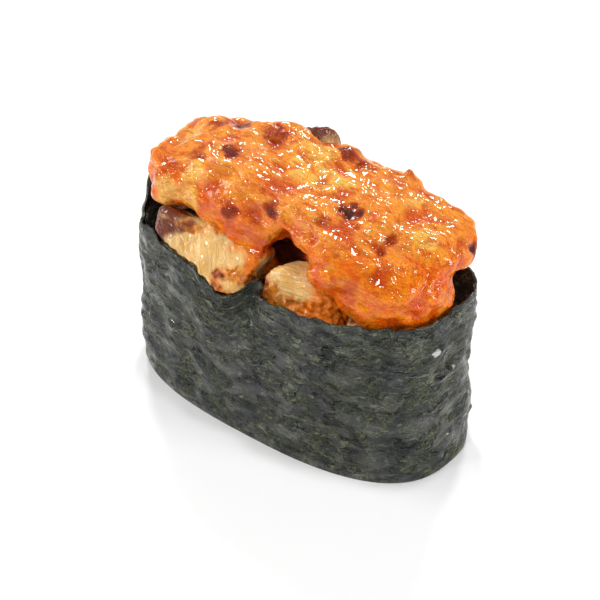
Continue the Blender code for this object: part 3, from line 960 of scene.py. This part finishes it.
class SauceSettings(bpy.types.PropertyGroup):
    detail: FloatProperty(
        name="Detail",
        description="Size of the smallest step in the crust's mesh",
        default=0.3 * MM,
        unit="LENGTH",
        precision=5,
    )
    smoothing: IntProperty(
        name="Smoothing", description="How often the crust is smoothed before it wrinkles", default=8
    )
    wrinkle_depth: FloatProperty(
        name="Wrinkle depth",
        description="Depth of the baked skin's folds",
        default=0.6 * MM,
        unit="LENGTH",
        precision=5,
    )
    # Also used for the painted sheen on the top plateau
    light_colour: FloatVectorProperty(
        name="Light colour",
        description="Yellow orange where it is thin",
        subtype="COLOR",
        default=(1.0, 0.50, 0.08),
    )
    gold_colour: FloatVectorProperty(
        name="Gold colour",
        description="Golden orange of its patches",
        subtype="COLOR",
        default=(0.97, 0.30, 0.006),
    )
    colour: FloatVectorProperty(
        name="Colour", description="Orange of the sauce", subtype="COLOR", default=(0.90, 0.14, 0.001)
    )
    # In the relief's hollows this is partly the thicker sauce's colour and partly painted shade
    deep_colour: FloatVectorProperty(
        name="Deep colour",
        description="Red orange of its hollows",
        subtype="COLOR",
        default=(0.62, 0.055, 0.001),
    )
    # Dark colour of the burnt spots, also used for the painted shade inside the pocket
    burnt_and_shade_colour: FloatVectorProperty(
        name="Burnt colour",
        description="Dark red brown of the burnt spots",
        subtype="COLOR",
        default=(0.07, 0.010, 0.003),
    )


def copied_and_joined(node, name, voxel, smoothing, finish):
    """A fine closed mesh of the form that the node's solid has."""
    bm = bmesh.new()
    bm.from_mesh(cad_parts[node].data)
    bmesh.ops.remove_doubles(bm, verts=bm.verts, dist=WELD * MM)
    mesh = bpy.data.meshes.new(name)
    bm.to_mesh(mesh)
    bm.free()
    obj = bpy.data.objects.new(name, mesh)
    bpy.context.scene.collection.objects.link(obj)
    join = obj.modifiers.new("join", "REMESH")
    join.mode = "VOXEL"
    join.voxel_size = voxel
    soften = obj.modifiers.new("soften", "SMOOTH")
    soften.factor = SOFTENING
    soften.iterations = smoothing
    apply_modifiers(obj)
    obj.data.materials.clear()
    obj.data.materials.append(finish)
    obj.data.shade_smooth()
    return obj


def crust_relief(x, y, z):
    """Relief of the baked skin, mostly from -1 to 1: slow lumps, winding folds and small crests."""
    bend_x = 1.6 * noise_at(x, y, z, 5.0, 1.1)
    bend_y = 1.6 * noise_at(x, y, z, 5.0, 7.1)
    lumps = noise_at(x, y, z, 4.6, 2.2)
    folds = noise_at(0.5 * (x + bend_x) + 0.3 * y, y + bend_y, z, 1.7, 3.7)
    small = noise_at(0.6 * x + bend_y, y + bend_x, z, 0.85, 5.9)
    lump_share, fold_share, small_share = CRUST_SHARES
    return lump_share * lumps + fold_share * folds + small_share * small


# How burnt the skin is at a place, together with the painted shade inside the pocket between the pieces
def burnt_and_pocket_shade_at(place):
    strongest = 1.0 - smoothstep(POCKET_DARK, POCKET_EDGE, (place - Vector(POCKET_HEART)).length)
    for centre, reach, strength in BURNT_SPOTS:
        away = (place - Vector(centre)).length
        away += 0.6 * reach * noise_at(*place, 1.3, 6.4)
        strongest = max(strongest, strength * faded(away, reach, BURNT_EDGE))
    return strongest


# Pale thin patches, and a painted sheen that pales the top plateau
def pale_and_top_sheen_at(place):
    strongest = 0.0
    for centre, reach in PALE_PATCHES:
        away = (place - Vector(centre)).length + reach * noise_at(*place, 2.4, 3.9)
        strongest = max(strongest, faded(away, reach, PALE_EDGE))
    return max(strongest, PLATEAU_SHEEN * smoothstep(PLATEAU_LOW, PLATEAU_HIGH, place.z))


def thinned_over_face(place):
    """Presses the sauce that lies on the left piece's face towards that face."""
    away = place - Vector(FACE_TOP)
    out, down = away.dot(Vector(FACE_OUT)), away.dot(Vector(FACE_DOWN))
    share = smoothstep(FILM_FROM, FILM_TO, down)
    share *= 1.0 - smoothstep(FILM_RIGHT_END - FILM_FADE, FILM_RIGHT_END, place.x)
    return place - Vector(FACE_OUT) * max(out, 0.0) * FILM_THINNING * share


def wrinkle_crust(obj, depth):
    """Moves the crust's skin in and out, and keeps what its colour depends on."""
    burnt_and_pocket_shade, pale, hollow_shade = [], [], []
    moves = []
    for v in obj.data.vertices:
        place = v.co / MM
        from_lump = (place - Vector(SMOOTH_LUMP)).length
        on_lump = smoothstep(SMOOTH_LUMP_REACH, 0.5 * SMOOTH_LUMP_REACH, from_lump)
        calm = 1.0 - SMOOTH_LUMP_CALM * on_lump
        relief = crust_relief(*place)
        # The burnt share here, with the pocket's painted shade in it
        burnt_and_shade_here = burnt_and_pocket_shade_at(place)
        moves.append(v.normal * MM * calm * depth * (relief - BURNT_SINK * burnt_and_shade_here))
        burnt_and_pocket_shade.append(burnt_and_shade_here)
        pale.append(pale_and_top_sheen_at(place))
        # Hollows of the relief, painted deeper red: partly thicker sauce, partly painted shade
        hollow_shade.append(0.5 - 0.5 * relief)
    for v, move in zip(obj.data.vertices, moves):
        v.co = held_in_cup(thinned_over_face((v.co + move) / MM)) * MM
    paint(obj, "burnt_and_pocket_shade", burnt_and_pocket_shade)
    paint(obj, "pale", pale)
    paint(obj, "hollow_shade", hollow_shade)


def sauce_material(settings):
    made, tree, shader = new_material("baked_sauce")
    place = place_in_mm(tree)
    grain = place_in_mm(tree, stretch=(2.2, 1.0, 1.0), turn=(0.0, 0.0, 24.0))
    mottle = grouped(tree, patches_group(), "Mask", place, Size=2.6, Bare=0.5, Softness=0.1)
    streak = grouped(tree, patches_group(), "Mask", grain, Size=1.5, Bare=0.56, Softness=0.1)
    # Deeper red in the relief's hollows: partly thicker sauce, partly painted shade
    hollow_shade = between(tree, painted(tree, "hollow_shade"), 0.45, 0.95)
    plain, gold = tuple(settings.colour), tuple(settings.gold_colour)
    colour = mixed(tree, product(tree, mottle, 0.7), plain, gold)
    # The pale attribute holds pale thin patches and the painted sheen on the top plateau
    colour = mixed(tree, painted(tree, "pale"), colour, tuple(settings.light_colour))
    deep_tone_and_shade = calculate(tree, "MAXIMUM", hollow_shade, product(tree, streak, 0.8))
    colour = mixed(tree, product(tree, deep_tone_and_shade, 0.85), colour, tuple(settings.deep_colour))
    # Burnt spots and the painted shade in the pocket take the scorched edge colour and then the burnt
    # colour
    burnt_and_pocket_shade_mask = calculate(tree, "ADD", painted(tree, "burnt_and_pocket_shade"), product(tree, streak, 0.06))
    colour = mixed(tree, between(tree, burnt_and_pocket_shade_mask, 0.05, 0.6), colour, SCORCHED_EDGE)
    colour = mixed(tree, between(tree, burnt_and_pocket_shade_mask, 0.45, 1.0), colour, tuple(settings.burnt_and_shade_colour))
    worms = noise_fac(tree, grain, 2.0, detail=2.0, roughness=0.55, distortion=1.6)
    pits = grouped(tree, wet_group(), "Height", place, Size=0.5)
    rough = grouped(tree, wet_group(), "Roughness", place, Size=0.55, Glossy=0.2, Dull=0.35)
    height = calculate(tree, "ADD", worms, product(tree, pits, 0.3))
    set_shader(tree, shader, Base_Color=colour, Roughness=rough, Normal=bump(tree, height, 0.7))
    coat = between(tree, burnt_and_pocket_shade_mask, 0.1, 0.9, 0.5, 0.12)
    set_shader(tree, shader, Coat_Weight=coat, Coat_Roughness=0.04)
    set_shader(tree, shader, Specular_IOR_Level=0.12, Specular_Tint=SHINE_TINT)
    return made


class SUSHI_OT_sauce(bpy.types.Operator):
    """Makes the baked sauce: the solid's own form with a finely wrinkled, browned skin"""

    bl_idname = "sushi.sauce"
    bl_label = "Baked sauce"

    def execute(self, context):
        settings = context.scene.sushi_sauce
        finish = sauce_material(settings)
        crust = copied_and_joined(
            "baked_sauce", "sauce_crust", settings.detail, settings.smoothing, finish
        )
        wrinkle_crust(crust, settings.wrinkle_depth / MM)
        stand_for(crust, "baked_sauce")
        return {"FINISHED"}


# The studio


class StudioSettings(bpy.types.PropertyGroup):
    floor_size: FloatProperty(
        name="Floor size", description="Side of the floor", default=3.0, unit="LENGTH"
    )
    floor_colour: FloatVectorProperty(
        name="Floor colour", description="Pale floor", subtype="COLOR", default=(0.92, 0.92, 0.92)
    )
    floor_glow: FloatProperty(
        name="Floor glow",
        description="Strength of the light from below, as a light table gives",
        default=0.04,
    )
    sky_strength: FloatProperty(
        name="Sky strength", description="Strength of the even white light", default=0.2
    )
    camera_distance: FloatProperty(
        name="Camera distance",
        description="From the camera to what it looks at",
        default=0.45,
        unit="LENGTH",
    )
    camera_rise: FloatProperty(
        name="Camera rise",
        description="How far the camera looks down",
        subtype="ANGLE",
        default=math.radians(36.0),
    )
    camera_turn: FloatProperty(
        name="Camera turn",
        description="How far the camera stands round to the right",
        subtype="ANGLE",
        default=math.radians(39.8),
    )


FRAME_PIXELS = 600.0
PIXELS_PER_MM = 6.025
AIM_RIGHT = -0.58
AIM_UP = 14.93
SENSOR = 36.0
CLIP_START = 0.01
WHITE = (1.0, 1.0, 1.0)
LAMP_AIM = (0.0, 0.0, 0.02)
# Each lamp: where it stands and its size, in metres, and its power in watts
LAMPS = {
    "back_left_lamp": ((-0.54, 0.46, 0.56), (0.11, 0.11), 3.0),
    "back_lamp": ((-0.30, 0.64, 0.54), (0.11, 0.11), 3.0),
    "top_lamp": ((0.05, 0.05, 0.95), (0.1, 0.1), 1.7),
    "front_right_lamp": ((0.46, -0.40, 0.66), (0.07, 0.07), 0.9),
    "front_lamp": ((0.10, -0.62, 0.64), (0.07, 0.07), 0.8),
    "high_front_lamp": ((-0.13, -0.42, 0.78), (0.07, 0.07), 0.8),
    "middle_front_lamp": ((-0.42, -0.62, 0.42), (0.07, 0.07), 0.7),
    "left_lamp": ((-0.52, -0.36, 0.56), (0.07, 0.07), 0.6),
    "low_front_lamp": ((-0.56, -0.62, 0.16), (0.07, 0.07), 1.0),
    "left_softbox": ((-0.70, -0.20, 0.22), (0.2, 0.4), 2.0),
    "right_softbox": ((0.75, 0.20, 0.16), (0.2, 0.4), 5.0),
}


def add_camera(settings):
    rise, turn = settings.camera_rise, settings.camera_turn
    back = Vector((math.sin(turn) * math.cos(rise), -math.cos(turn) * math.cos(rise), math.sin(rise)))
    right = Vector((math.cos(turn), math.sin(turn), 0.0))
    target = (right * AIM_RIGHT + back.cross(right) * AIM_UP) * MM
    half_angle = math.atan(FRAME_PIXELS / 2 / PIXELS_PER_MM * MM / settings.camera_distance)
    camera = bpy.data.objects.new("camera", bpy.data.cameras.new("camera"))
    camera.location = target + back * settings.camera_distance
    camera.rotation_mode = "QUATERNION"
    camera.rotation_quaternion = (-back).to_track_quat("-Z", "Y")
    camera.data.sensor_width = SENSOR
    camera.data.lens = SENSOR / 2 / math.tan(half_angle)
    camera.data.clip_start = CLIP_START
    bpy.context.scene.collection.objects.link(camera)
    bpy.context.scene.camera = camera


def add_lamp(name, place, size, power):
    lamp = bpy.data.objects.new(name, bpy.data.lights.new(name, "AREA"))
    lamp.data.shape = "RECTANGLE"
    lamp.data.size, lamp.data.size_y = size
    lamp.data.energy = power
    lamp.location = place
    lamp.rotation_mode = "QUATERNION"
    lamp.rotation_quaternion = (Vector(LAMP_AIM) - lamp.location).to_track_quat("-Z", "Y")
    bpy.context.scene.collection.objects.link(lamp)


def add_sky(strength):
    world = bpy.data.worlds.new("studio")
    world.use_nodes = True
    sky = world.node_tree.nodes["Background"]
    feed(world.node_tree, sky.inputs["Color"], WHITE)
    feed(world.node_tree, sky.inputs["Strength"], strength)
    bpy.context.scene.world = world


def floor_material(colour, glow):
    made, tree, shader = new_material("floor")
    place = place_in_mm(tree)
    tone = grouped(tree, patches_group(), "Mask", place, Size=40.0, Bare=0.5, Softness=0.4)
    pale = mixed(tree, tone, tuple(colour), tuple(min(1.0, c + 0.01) for c in colour))
    set_shader(tree, shader, Base_Color=pale, Roughness=0.8, Specular_IOR_Level=0.1)
    set_shader(tree, shader, Emission_Color=WHITE, Emission_Strength=glow)
    return made


class SUSHI_OT_studio(bpy.types.Operator):
    """Sets the pale floor, the lamps and the camera"""

    bl_idname = "sushi.studio"
    bl_label = "Studio"

    def execute(self, context):
        settings = context.scene.sushi_studio
        bm = bmesh.new()
        bmesh.ops.create_grid(bm, x_segments=2, y_segments=2, size=settings.floor_size / MM / 2)
        floor = object_from(bm, "floor", floor_material(settings.floor_colour, settings.floor_glow))
        add_sky(settings.sky_strength)
        for name, lamp in LAMPS.items():
            add_lamp(name, *lamp)
        add_camera(settings)
        context.scene.view_settings.view_transform = "Standard"
        return {"FINISHED"}


class SUSHI_PT_panel(bpy.types.Panel):
    """Lists the sushi's pieces and their settings"""

    bl_idname = "SUSHI_PT_panel"
    bl_label = "Gunkan sushi"
    bl_space_type = "VIEW_3D"
    bl_region_type = "UI"
    bl_category = "Gunkan sushi"

    def draw(self, context):
        for group, operator in SECTIONS.items():
            settings = getattr(context.scene, group)
            box = self.layout.box()
            box.operator(operator.bl_idname)
            for name in settings.__annotations__:
                box.prop(settings, name)


GROUPS = {
    "sushi_nori": NoriSettings,
    "sushi_rice": RiceSettings,
    "sushi_fish": FishSettings,
    "sushi_sauce": SauceSettings,
    "sushi_studio": StudioSettings,
}
SECTIONS = {
    "sushi_nori": SUSHI_OT_nori,
    "sushi_rice": SUSHI_OT_rice,
    "sushi_fish": SUSHI_OT_fish,
    "sushi_sauce": SUSHI_OT_sauce,
    "sushi_studio": SUSHI_OT_studio,
}
CLASSES = (*GROUPS.values(), *SECTIONS.values(), SUSHI_PT_panel)


def register():
    for cls in CLASSES:
        bpy.utils.register_class(cls)
    for name, group in GROUPS.items():
        setattr(bpy.types.Scene, name, PointerProperty(type=group))


def unregister():
    for name in GROUPS:
        delattr(bpy.types.Scene, name)
    for cls in reversed(CLASSES):
        bpy.utils.unregister_class(cls)


def main():
    register()
    bpy.ops.sushi.nori()
    bpy.ops.sushi.rice()
    bpy.ops.sushi.fish()
    bpy.ops.sushi.sauce()
    bpy.ops.sushi.studio()


if __name__ == "__main__":
    main()
